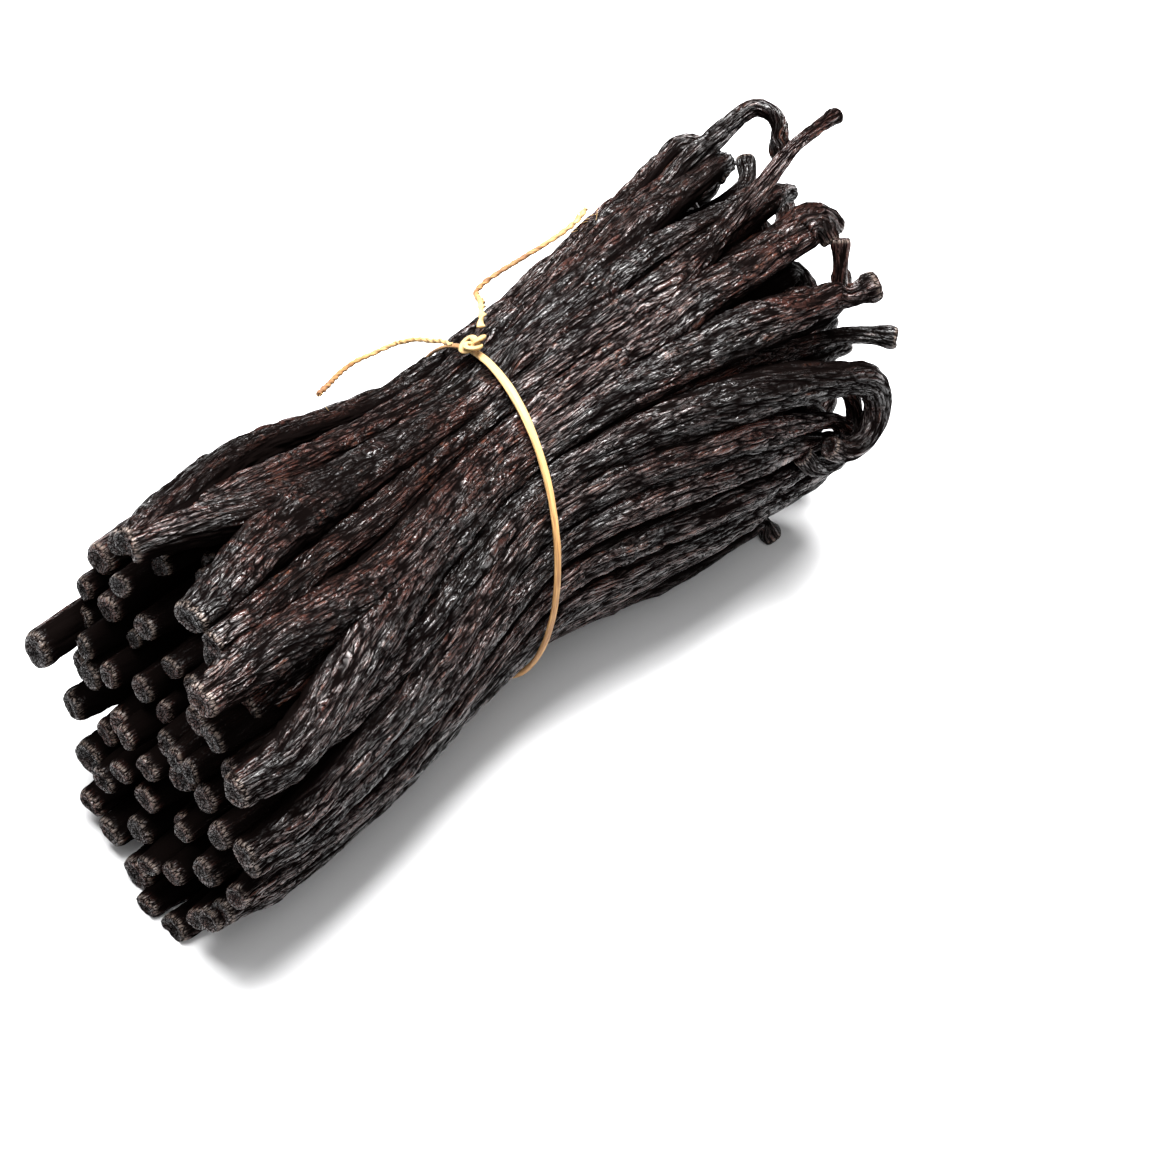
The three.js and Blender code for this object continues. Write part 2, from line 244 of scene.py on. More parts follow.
def scatter(i, salt):
    # an even, repeatable scatter between -1 and 1
    return ((i * 0.6180339887 + salt * 0.7548776662) % 1) * 2 - 1


podSize = {
    "width": 9.6,
    "thickness": 7.8,
    "tipShare": 0.72,
    "tipLength": 17,
    "stemTaper": 22,
    "girth": [0.44, 0.4, 0.4, 0.42, 0.52],  # of the stem from the body to its knob, to the pod's own
    "waistShare": 0.8,
    "step": 2.5,          # between the points of a pod's line
    "wander": 0.7,        # how far a pod's line strays from a smooth one
}


def tiedAt(x):
    return np.exp(-((x / outline["waistReach"]) ** 2))


def unit(v):
    return v / np.linalg.norm(v, axis=-1, keepdims=True)


def podLine(pod, fromX=None, toX=None):
    # the points of one pod's middle, with its half width, half thickness and outward direction
    tipX = bluntX + float(leanAt(bluntX, pod["angles"][0], pod["out"])) + pod["blunt"]
    endX = stemX + float(leanAt(stemX, pod["angles"][-1], pod["out"])) + pod["stem"]
    startX = tipX if fromX is None else fromX
    stopX = endX if toX is None else toX
    count = max(4, round((stopX - startX) / podSize["step"]))
    x = np.linspace(startX, stopX, count)
    angle = valueAt(pod["angles"], x)
    points = pointAt(x, angle, pod["out"], valueAt(pod.get("lift", [0] * 5), x))
    swelling = 1 - (1 - np.clip((x - tipX) / podSize["tipLength"], 0, 1)) ** 2.2
    tipShare = pod.get("tipShare", podSize["tipShare"])
    tip = tipShare + (1 - tipShare) * swelling
    girth = pod["curl"].get("girth", podSize["girth"])
    thin = girth[0] + (1 - girth[0]) * smooth((endX - x) / podSize["stemTaper"])
    tied = 1 - (1 - podSize["waistShare"]) * tiedAt(x)
    full = podSize["width"] / 2 * valueAt(np.broadcast_to(pod["size"], 5), x)
    half = full * tip * thin * tied
    flat = np.full(count, pod.get("flat", podSize["thickness"] / podSize["width"]))
    points = points + wander(points, pod["seed"]) * (1 - tiedAt(x))[:, None]
    if toX is None:
        stem = stemLine(pod, points)
        steps = len(stem)
        points = np.vstack([points, stem])
        share = np.interp(np.linspace(0, len(girth) - 1, steps + 1)[1:], range(len(girth)), girth)
        half = np.concatenate([half, full[-1] * share])
        flat = np.concatenate([flat, np.full(steps, 0.9)])
    centreY, centreZ = outlineAt(points[:, 0])[2:]
    fromMiddle = [0 * half + 0.01, points[:, 1] - centreY - 0.01, points[:, 2] - centreZ]
    outward = unit(np.stack(fromMiddle, axis=1))
    tied = tiedAt(points[:, 0])
    bundled = (np.arange(len(points)) < count).astype(float)
    extra = np.stack([tied, bundled, np.full(len(points), pod.get("depth", 0.0))], axis=1)
    return {"points": points, "half": half, "thick": half * flat, "outward": outward, "seed": pod["seed"],
            "extra": extra}


def stemLine(pod, body):
    # the stem leaves along the body's run and turns evenly towards a side
    curl = pod["curl"]
    if "route" in curl:
        route = np.vstack([body[-2:], curl["route"]])
        return catmullRom(route, np.linspace(1, len(route) - 1, len(curl["route"]) * 2 + 1)[1:])
    run = unit(body[-1] - body[-3])
    toward = np.array(curl["toward"], float)
    side = unit(toward - run * toward.dot(run))
    steps = max(5, round(curl["length"] / 1.6))
    turned = np.radians(curl["turn"]) * (np.arange(steps) + 0.5) / steps
    moves = np.cos(turned)[:, None] * run + np.sin(turned)[:, None] * side
    return body[-1] + np.cumsum(moves, axis=0) * curl["length"] / steps


def wander(points, seed):
    # two slow waves across the line, different for every pod
    x = points[:, 0]
    waves = []
    for axis in range(3):
        first = np.sin(x / 9.5 + seed * 7.1 + axis * 2.3)
        second = np.sin(x / 5.2 + seed * 3.7 + axis * 4.1)
        waves.append(0.65 * first + 0.35 * second)
    return np.stack(waves, axis=1) * podSize["wander"] * np.array([0.3, 1, 1])


frontPods = [
    {"angles": [-22, -42, -52, -50, -47], "size": [0.92, 0.92, 0.9, 0.88, 0.85],
     "blunt": -2, "stem": -20, "lift": [1, 3, 0.5, 0.5, 8],
     "curl": {"length": 10, "turn": 130, "toward": [0.2, -1, -0.4], "girth": [0.66, 0.62, 0.58, 0.6]}},
    {"angles": [-28, -20, -25, -34, -46], "size": [0.85, 0.85, 0.82, 0.8, 0.8],
     "blunt": 8, "stem": -22, "lift": [0, 0, 0, 0.5, 4],
     "curl": {"length": 8, "turn": 80, "toward": [0, -1, -0.5], "girth": [0.66, 0.58, 0.55, 0.55]}},
    {"angles": [-22, -6, -31, -40, -40], "size": [0.9, 0.88, 0.82, 0.78, 0.78],
     "blunt": -3, "stem": -23, "lift": [1, -1, -6, -2, 5],
     "curl": {"route": [(74, 15, 64.4), (77, 14.4, 66), (80, 13.6, 67.5), (82, 12.5, 68.1),
                        (83.2, 10.4, 67.4), (83.1, 8.2, 65.8), (82.2, 7.1, 64), (81.8, 6.3, 62.6)],
              "girth": [0.7, 0.6, 0.53, 0.5, 0.47, 0.45, 0.58]}},
    {"angles": [14, 3, -3, -9, -3], "size": [1, 1, 0.9, 0.76, 0.72],
     "blunt": -2, "stem": -22, "lift": [1, 0.8, 0.4, 0.2, 0],
     "curl": {"length": 6, "turn": 40, "toward": [0, 0, -1]}},
    {"angles": [25, 19, 5, 7, -4], "size": [0.74, 0.74, 0.8, 0.9, 0.85],
     "blunt": 0, "stem": -28, "lift": [0, -1, -1.5, 0.3, 0.5],
     "curl": {"route": [(67.9, -4.2, 71.1), (72.3, -3.8, 73.1), (77.6, -3.6, 74.1),
                        (82.6, -2.9, 73.5), (85.2, -2.3, 72.8)],
              "girth": [0.5, 0.4, 0.34, 0.31, 0.31, 0.4]}},
    {"angles": [36, 36, 22, 20, 22], "size": [1, 1, 0.88, 0.84, 0.8],
     "blunt": -5, "stem": -15, "lift": [0.4, 0.5, 0.4, 0.4, 0.4],
     "curl": {"route": [(69.4, -12.7, 63.1), (70.5, -13.9, 62.8), (70.6, -15.2, 61.8)],
              "girth": [0.84, 0.74, 0.62, 0.5]}},
]
sidePods = [
    {"angles": [64, 45, 31, 36, 50], "size": [0.96, 0.98, 0.9, 0.94, 0.9],
     "blunt": -2, "stem": -13, "lift": [1, 0.8, 0.4, 0.6, 0.4],
     "curl": {"route": [(66.6, -24.2, 55.6), (68.4, -25.3, 56.3), (69.6, -25.9, 56.7)],
              "girth": [0.68, 0.44, 0.5, 0.66]}},
    {"angles": [67, 61, 45, 57, 86], "size": [0.8, 0.8, 0.82, 0.92, 0.9],
     "blunt": 14, "stem": -9, "lift": [0, 0, 0, 1, 1],
     "curl": {"length": 24, "turn": 205, "toward": [0.1, -0.3, -1], "girth": [0.74, 0.66, 0.6, 0.54, 0.5]}},
    {"angles": [85, 73, 57, 72, 104], "size": [0.86, 0.86, 0.84, 0.84, 0.8],
     "blunt": -1, "stem": -14, "lift": [0.4, 0, 0, 0, 0],
     "curl": {"length": 7, "turn": 30, "toward": [0, 0, -1]}},
    {"angles": [95, 85, 70, 83, 112], "size": [0.8, 0.82, 0.82, 0.78, 0.76],
     "blunt": 2, "stem": -12,
     "curl": {"length": 6, "turn": 20, "toward": [0, 0, -1]}},
    {"angles": [108, 100, 85, 98, 118], "size": 0.84, "blunt": 1, "stem": -11,
     "curl": {"length": 6, "turn": 20, "toward": [0, 1, 0]}},
    {"angles": [126, 120, 102, 112, 128], "size": 0.9, "blunt": 2, "stem": -10,
     "curl": {"length": 6, "turn": 20, "toward": [0, 1, 0]}},
]
strayPods = [
    {"angles": [73, 64, 49, 62, 88], "blunt": 24, "stem": -12, "out": 0.8,
     "curl": {"length": 30, "turn": 225, "toward": [0, -0.35, -1]}},
    {"angles": [50, 48, 40, 50, 67], "blunt": 20, "stem": -13, "out": 0.72,
     "curl": {"length": 13, "turn": 42, "toward": [0, -1, 0]}},
    {"angles": [-94, -88, -78, -76, -74], "blunt": -9.6, "stem": -10, "out": 0.86,
     "size": 0.74, "tipShare": 1.05,
     "curl": {"length": 9, "turn": 60, "toward": [0, 1, 0]}},
    {"angles": [-34, -28, -17, -24, -36], "blunt": 3, "stem": -19, "out": 0.86,
     "lift": [-3.5, -1.8, -1, 0.6, 2],
     "curl": {"length": 8, "turn": 60, "toward": [0, 0.4, -1], "girth": [0.7, 0.6, 0.5, 0.45]}},
    {"angles": [48, 40, 34, 36, 40], "blunt": 6, "stem": -17, "out": 0.72,
     "curl": {"route": [(66.8, -21.6, 51.6), (68.3, -20.6, 54.5), (69.6, -19.6, 57.5), (71.1, -18, 60.5)],
              "girth": [0.5, 0.36, 0.3, 0.32, 0.48]}},
    {"angles": [20, 18, 12, 14, 14], "blunt": 6, "stem": -12, "out": 0.74, "lift": [0, 0, 0, 0, 2],
     "curl": {"length": 9, "turn": 70, "toward": [0, -0.3, -1], "girth": [0.8, 0.66, 0.5, 0.5]}},
    {"angles": [-49, -57, -62, -60, -58], "blunt": 1, "stem": -13, "out": 0.85,
     "curl": {"length": 10, "turn": 70, "toward": [0, 1, -0.5]}},
    {"angles": [-6, -4, -2, -3, -2], "blunt": 8, "stem": -16, "out": 0.76, "lift": [-4, -3, 0, 0.5, 2],
     "curl": {"length": 8, "turn": 50, "toward": [0, 0.3, -1], "girth": [0.8, 0.66, 0.5, 0.5]}},
]
rings = [
    {"count": 13, "out": 0.88, "size": 0.86, "stemShort": 14},
    {"count": 18, "out": 0.67, "size": 0.78, "stemShort": 14},
    {"count": 13, "out": 0.455, "size": 0.76, "stemShort": 13},
    {"count": 7, "out": 0.245, "size": 0.76, "stemShort": 14},
    {"count": 2, "out": 0.07, "size": 0.76, "stemShort": 14},
]
hiddenArc = {"from": 115, "span": 177, "middle": 240, "flare": 14, "reach": 3, "back": 1}
hollow = {"angle": 0, "spread": 24, "depth": 13}
settling = {"fromSteepness": 0.8, "press": 0.5, "most": 3.5}


def settledAt(x, angle, share):
    # how far a pod of the underside stands out of its ring to lie on the table
    steepness = -math.cos(math.radians(angle))
    if steepness < settling["fromSteepness"]:
        return 0.0
    halfHeight, centreZ = (float(v) for v in (outlineAt(x)[1], outlineAt(x)[3]))
    toTable = (centreZ - podSize["thickness"] / 2 + settling["press"]) / steepness
    drop = min(max(toTable - share * halfHeight, 0), settling["most"])
    return drop * (1 - float(tiedAt(x)))


def ringPods(r):
    ring = rings[r]
    hidden = r == 0
    unevenness = 2.5 if hidden else 5
    pods = []
    for i in range(ring["count"]):
        share = i / (ring["count"] - 1)
        if hidden:
            spread = hiddenArc["from"] + hiddenArc["span"] * share
            flare = (1 - share) * hiddenArc["flare"]
            reach = hiddenArc["reach"] * math.sin(math.pi * share) - hiddenArc["back"]
        else:
            spread = 360 * (i + 0.5) / ring["count"]
            flare = 0
            aside = ((spread - hollow["angle"] + 180) % 360 - 180) / hollow["spread"]
            bulge = max(0, math.cos(math.radians(spread - hiddenArc["middle"])))
            reach = hiddenArc["reach"] * ring["out"] * bulge - hollow["depth"] * math.exp(-aside * aside)
        angles = [spread + unevenness * scatter(i, s + 1 + r) + flare * abs(s - 2) / 2 for s in range(5)]
        pods.append({
            "angles": angles,
            "blunt": unevenness / 2 * scatter(i, 11 + r) - reach,
            "stem": 5 * scatter(i, 17 + r) - ring["stemShort"],
            "lift": [settledAt(x, spread, ring["out"]) if hidden else 0 for x in stations],
            "out": ring["out"],
            "size": ring["size"] * (1 + 0.06 * scatter(i, 23 + r)),
            "tipShare": 0.78 + 0.06 * scatter(i, 43 + r),
            "flat": 0.76 + 0.14 * scatter(i, 47 + r),
            # painted shade: the inner rings' pods are marked to be painted dark, as if deep in the bundle's
            # shade
            "depth": 0.0 if hidden else 0.94,
            "curl": {
                "length": 7 + 3 * scatter(i, 29 + r),
                "turn": 70 + 60 * scatter(i, 31 + r),
                "toward": [0.3, scatter(i, 37 + r), 0.7 * scatter(i, 41 + r) - 0.4],
                "girth": [0.72, 0.6, 0.5, 0.46, 0.55],
            },
        })
    return pods


def numbered(pods, first, **common):
    # every pod gets its own seed, and what its group has in common
    return [{**common, **pod, "seed": first + i} for i, pod in enumerate(pods)]


podSkin = {
    "wrinkleWidth": 0.9,
    "wrinkleLength": 5.8,
    "wrinkleDepth": 0.5,
    "foldWidth": 2.2,
    "foldLength": 14,
    "foldDepth": 0.6,
    "dentWidth": 5.5,
    "dentLength": 13,
    "dentDepth": 0.6,
    "rippleWidth": 1.4,
    "rippleLength": 5.0,
    "rippled": 0.8,       # how far the ripple bends a wrinkle, in its own widths
    "swirlLength": 16,
    "swirl": 0.9,
    "slant": 0.006,
    "zoneWidth": 6.0,
    "zoneLength": 20.0,
    "rollLength": 55,
    "roll": 1.1,
    "cup": 0.3,
    "cupVaries": 0.12,
    "rimWave": 0.3,
    "cinch": 0.975,       # the tie presses the pods to this share of the outline
    "cinchSlope": 0.0045, # and how fast they swell again beside it
}
# how the radius and the height of an end change from the body to its middle
endRadius = [(0, 1), (0.2, 1), (0.36, 0.92), (0.5, 0.77), (0.7, 0.5), (1, 0)]
endHeight = [(0, 0), (0.2, 0.36), (0.36, 0.64), (0.5, 0.83), (0.7, 0.94), (1, 0.94)]


def tubeAlong(g, given):
    # a tube of rows by sides along every line, and what its own line says at each of its points
    sides, rows, endRows = (given.out(n) for n in ("Sides", "Rows", "End Rows"))
    lines = g.add("GeometryNodeMeshToCurve", {}, {"Mesh": given.out("Geometry")})
    lines = g.add("GeometryNodeCurveSplineType", {"spline_type": "CATMULL_ROM"}, {"Curve": lines})
    rowCurve = g.add("GeometryNodeResampleCurve", {}, {"Curve": lines, "Count": rows})
    captures = {"row": "INT", "line": "INT", "span": "FLOAT"}
    captured = g.add("GeometryNodeCaptureAttribute", {"captures": captures}, {
        "Geometry": rowCurve,
        "row": g.add("GeometryNodeSplineParameter").out("Index"),
        "line": g.add("GeometryNodeCurveOfPoint"),
        "span": g.add("GeometryNodeSplineLength"),
    })
    row, line, span = (captured.out(n) for n in ("row", "line", "span"))
    circle = g.add("GeometryNodeCurvePrimitiveCircle", {}, {"Resolution": sides, "Radius": 1.0})
    turned = g.add("GeometryNodeCaptureAttribute", {"captures": {"turn": "FLOAT"}}, {
        "Geometry": circle,
        "turn": g.add("GeometryNodeSplineParameter") * (2 * math.pi),
    })
    tube = g.add("GeometryNodeCurveToMesh", {}, {"Curve": captured, "Profile Curve": turned})
    along = ((row - endRows) / (rows - 1 - endRows * 2)).most(0.0).least(1.0)

    def sampled(name):
        value = g.add("GeometryNodeInputNamedAttribute", {"data_type": "FLOAT_VECTOR"}, {"Name": name})
        settings = {"mode": "FACTOR", "data_type": "FLOAT_VECTOR", "use_all_curves": False}
        values = {"Curves": lines, "Value": value, "Factor": along, "Curve Index": line}
        return g.add("GeometryNodeSampleCurve", settings, values)

    size = sampled("size")
    return {
        "tube": tube,
        "turn": turned.out("turn"),
        "size": size,
        "middle": size.out("Position"),
        "run": size.out("Tangent"),
        "outward": sampled("outward"),
        "extra": sampled("extra"),
        "v": along * span / mm,
        "atFirst": ((endRows - row) / endRows).most(0.0),
        "atLast": ((row - rows + 1 + endRows) / endRows).most(0.0),
    }


def turnedAxes(g, outward, run, angle):
    # the section's wide and deep directions, turned round the line
    side = g.vector("NORMALIZE", g.vector("CROSS_PRODUCT", outward, run))
    up = g.vector("CROSS_PRODUCT", run, side)
    cos = angle.math("COSINE")
    sin = angle.math("SINE")
    wide = g.vector("ADD", g.scaled(side, cos), g.scaled(up, sin))
    deep = g.vector("SUBTRACT", g.scaled(up, cos), g.scaled(side, sin))
    return wide, deep


def cinched(g, place):
    # the tie's pull: near its leaning plane nothing stands out past the outline of the waist
    waist = outline["waist"]
    centre = inFrame([0, waist["centreY"], waist["centreZ"]])
    x, y, z = g.split(g.scaled(g.vector("SUBTRACT", place, tuple(centre)), 1 / mm))
    out = ((y / waist["halfWidth"]) ** 2 + (z / waist["halfHeight"]) ** 2) ** 0.5
    fromTie = x - y * outline["leanY"] - z * outline["leanZ"]
    limit = podSkin["cinch"] + fromTie * fromTie * podSkin["cinchSlope"]
    keep = (limit / out.most(0.05)).least(1.0)
    pressed = g.scaled(g.xyz(x, y * keep, z * keep), mm)
    return g.vector("ADD", pressed, tuple(centre))


def finished(g, geometry, stored, material):
    # keeps the values that the material reads, closes the ends and ends the tree
    for name, (kind, value) in stored.items():
        geometry = g.add("GeometryNodeStoreNamedAttribute", {"data_type": kind},
                         {"Geometry": geometry, "Name": name, "Value": value})
    geometry = g.add("GeometryNodeMergeByDistance", {}, {"Geometry": geometry, "Distance": 0.000001})
    geometry = g.add("GeometryNodeSetShadeSmooth", {}, {"Geometry": geometry})
    geometry = g.add("GeometryNodeRealizeInstances", {}, {"Geometry": geometry})
    geometry = g.add("GeometryNodeSetMaterial", {}, {"Geometry": geometry, "Material": material})
    g.add("NodeGroupOutput", {}, {"Geometry": geometry})
    return g.tree


def podTree(material):
    g = Graph(bpy.data.node_groups.new("sweptPods", "GeometryNodeTree"))
    given = g.inputs({"Sides": 64, "Rows": 120, "End Rows": 9, "Relief": 1.0})
    tube = tubeAlong(g, given)
    turn, run, v = (tube[n] for n in ("turn", "run", "v"))
    half, thick, seed = g.split(tube["size"])
    radius = half / mm

    # the section rolls slowly along the pod
    tied, bundled, depth = g.split(tube["extra"])
    rolling = g.noise(g.xyz(v / podSkin["rollLength"], 0.0, 0.0), seed * 3.1) - 0.5
    roll = rolling * (1 - tied) * podSkin["roll"]
    wide, deep = turnedAxes(g, tube["outward"], run, roll)
    cos = turn.math("COSINE")
    sin = turn.math("SINE")

    # wrinkles, folds and dents run along the pod, meander and merge
    swirling = g.noise(g.xyz(cos * 1.2, sin * 1.2, v / podSkin["swirlLength"]), seed * 1.7, 1.0) - 0.5
    swirled = turn + swirling * podSkin["swirl"] + v * (seed.math("SINE") * podSkin["slant"])
    c = swirled.math("COSINE")
    s = swirled.math("SINE")

    def stretched(name):
        width = podSkin[name + "Width"]
        return g.xyz(c * radius / width, s * radius / width, v / podSkin[name + "Length"])

    ripple = g.noise(stretched("ripple"), seed + 8.8, 2.0).out("Color")
    ripple = g.scaled(g.vector("SUBTRACT", ripple, (0.5, 0.5, 0.5)), podSkin["rippled"])
    wrinkles = g.cells(g.vector("ADD", stretched("wrinkle"), ripple), seed)
    folds = g.noise(stretched("fold"), seed + 27.9, 1.0)
    folds = (abs(folds * 2 - 1) * 2.2).least(1.0) ** 0.7
    around = radius / podSkin["dentWidth"]
    dents = g.noise(g.xyz(cos * around, sin * around, v / podSkin["dentLength"]), seed + 43.7, 1.5) * 2 - 1
    narrow = (radius / 4).least(1.0)
    zone = g.noise(stretched("zone"), seed + 61.0, 1.0).ramp(0.38, 0.62) * 0.7 + 0.4
    relief = (wrinkles - 0.7) * zone * podSkin["wrinkleDepth"]
    relief = relief + (folds - 0.7) * podSkin["foldDepth"] * narrow
    relief = (relief + dents * podSkin["dentDepth"] * narrow) * given.out("Relief")

    # the ends: a swollen rim round a shallow cup
    def endShape(points, t):
        return g.add("ShaderNodeFloatCurve", {"curve": points}, {"Factor": 1.0, "Value": t})

    atEnd = tube["atFirst"].most(tube["atLast"])
    shrink = endShape(endRadius, atEnd)
    cup = podSkin["cup"] + (seed * 2.7).math("SINE") * podSkin["cupVaries"]
    cup = cup * atEnd.ramp(0.4, 0.9)
    wave = (g.noise(g.xyz(cos * 1.1, sin * 1.1, 0.0), seed + 5.5, 1.0) - 0.5) * atEnd.ramp(0.0, 0.4)
    height = endShape(endHeight, atEnd) - cup + wave * podSkin["rimWave"]
    facing = (tube["atLast"] - tube["atFirst"]).math("SIGN")
    axial = height * half * facing

    ring = g.vector("ADD", g.scaled(wide, cos * half * shrink), g.scaled(deep, sin * thick * shrink))
    radial = g.vector("NORMALIZE", g.vector("ADD", g.scaled(wide, cos * half), g.scaled(deep, sin * thick)))
    place = g.vector("ADD", g.vector("ADD", tube["middle"], ring), g.scaled(run, axial))
    place = g.vector("ADD", place, g.scaled(radial, relief * mm * (1 - atEnd * 1.7).most(0.0)))
    x, y, z = g.split(cinched(g, place))
    onTable = g.xyz(x, y, z.most(0.0001))
    shaped = g.add("GeometryNodeSetPosition", {}, {"Geometry": tube["tube"], "Position": onTable})

    # painted shade: sides that face the next pod, or lie deep in the bundle, are marked to be painted dark
    inner = (0.72 - sin).ramp(0.0, 0.7).most(depth) * bundled * (1 - atEnd.ramp(0.0, 0.5))
    return finished(g, shaped, {
        "skin": ("FLOAT_VECTOR", g.xyz(c * radius * shrink, s * radius * shrink, v + axial / mm)),
        "podSeed": ("FLOAT", seed),
        "ridge": ("FLOAT", (wrinkles * 0.5 + folds * 0.5) * (1 - atEnd) + atEnd * 0.8),
        "inner": ("FLOAT", inner),
        "tip": ("FLOAT", atEnd),
    }, material)


def setInputs(modifier, values):
    for item in modifier.node_group.interface.items_tree:
        if item.in_out == "INPUT" and item.name in values:
            modifier[item.identifier] = values[item.name]


def linesMesh(name, lines):
    # every line as a chain of edges, with its sizes on its points
    points = np.vstack([inFrame(line["points"]) for line in lines])
    edges = []
    start = 0
    for line in lines:
        count = len(line["points"])
        edges += [(start + i, start + i + 1) for i in range(count - 1)]
        start += count
    mesh = bpy.data.meshes.new(name)
    mesh.from_pydata(points.tolist(), edges, [])
    kept = {"size": [], "outward": [], "extra": []}
    for line in lines:
        seed = np.full(len(line["half"]), float(line["seed"]))
        kept["size"].append(np.stack([line["half"] * mm, line["thick"] * mm, seed], axis=1))
        kept["outward"].append(line["outward"])
        kept["extra"].append(line["extra"])
    for label, values in kept.items():
        values = np.vstack(values)
        attribute = mesh.attributes.new(label, "FLOAT_VECTOR", "POINT")
        attribute.data.foreach_set("vector", values.astype(np.float32).ravel())
    return mesh


def sweep(name, lines, tree, values):
    source = bpy.data.objects.new(name + "Lines", linesMesh(name + "Lines", lines))
    bpy.context.scene.collection.objects.link(source)
    modifier = source.modifiers.new("sweep", "NODES")
    modifier.node_group = tree
    setInputs(modifier, values)
    graph = bpy.context.evaluated_depsgraph_get()
    swept = source.evaluated_get(graph)
    mesh = bpy.data.meshes.new_from_object(swept, preserve_all_data_layers=True, depsgraph=graph)
    bpy.data.objects.remove(source)
    mesh.name = name
    piece = bpy.data.objects.new(name, mesh)
    bpy.context.scene.collection.objects.link(piece)
    mesh.calc_loop_triangles()
    print(name, len(mesh.loop_triangles), "triangles")
    return piece


# the bundle lies left of the middle of the frame and a little above it, which the shift gives
view = {"azimuth": -43.65, "elevation": 45, "distance": 600, "lens": 107.2, "target": (0, 0, 31),
        "shiftX": 0.0893, "shiftY": -0.0582}


def viewAxes():
    a = math.radians(-view["azimuth"])
    e = math.radians(view["elevation"])
    forward = np.array([math.sin(a) * math.cos(e), math.cos(a) * math.cos(e), -math.sin(e)])
    right = np.array([math.cos(a), -math.sin(a), 0.0])
    return right, np.cross(right, forward), forward


def makeCamera():
    forward = viewAxes()[2]
    target = np.array(view["target"], float)
    eye = inFrame(target - forward * view["distance"])
    data = bpy.data.cameras.new("camera")
    data.lens = view["lens"]
    data.shift_x = view["shiftX"]
    data.shift_y = view["shiftY"]
    data.clip_start = 0.02
    camera = bpy.data.objects.new("camera", data)
    bpy.context.scene.collection.objects.link(camera)
    camera.location = eye
    camera.rotation_euler = Vector(forward).to_track_quat("-Z", "Y").to_euler()
    bpy.context.scene.camera = camera


makeCamera()
print("camera done")


def newMaterial(name):
    material = bpy.data.materials.new(name)
    material.use_nodes = True
    material.node_tree.nodes.clear()
    return material, Graph(material.node_tree)


def surface(g, fixed, values, paintedShadeMask=None, paintedShadeBsdf=None):
    # fixed numbers stand on the shader's own sockets; only what varies is linked
    shader = g.add("ShaderNodeBsdfPrincipled", {}, {**fixed, **values})
    if paintedShadeBsdf:
        # painted shade: where the mask says so, a near-black matte shader without reflection is mixed in
        # for the shade in creases and between parts
        dark = g.add("ShaderNodeBsdfPrincipled", {}, paintedShadeBsdf)
        shader = g.add("ShaderNodeMixShader", {}, {0: paintedShadeMask, 1: shader, 2: dark})
    g.add("ShaderNodeOutputMaterial", {}, {"Surface": shader})


def attribute(g, name, output):
    return g.add("ShaderNodeAttribute", {"attribute_name": name}).out(output)


podLook = {
    # black is the skin's darkest tone, and is also painted into the crease bottoms as shade
    "black": (0.005, 0.0028, 0.0024, 1),
    "brown": (0.040, 0.0135, 0.0098, 1),
    "red": (0.075, 0.024, 0.012, 1),
    "dust": (0.15, 0.11, 0.088, 1),
    "fixed": {"IOR": 1.5, "Specular IOR Level": 0.6},
    # painted shade: a near-black matte shader with no reflection, mixed into creases, tip cups and sides
    # between pods
    "paintedShadeBsdf": {"Base Color": (0.0018, 0.0012, 0.0011, 1), "Roughness": 0.9, "Specular IOR Level": 0.0},
    # sizes across and along the pod, in millimetres
    "ripple": (0.8, 2.6),
    "fine": (0.3, 1.2),
    "grain": (0.2, 0.3),
    "patch": (5.0, 26.0),
    "blotch": (2.6, 7.0),
    "crinkleWidth": 0.625,
    "crinkleLength": 3.6,
    "crinkleLonger": 5.4,   # at the most, by the pod's own tone
    "rippled": 0.8,
    "shine": 0.13,
    "relief": 0.00013,
}


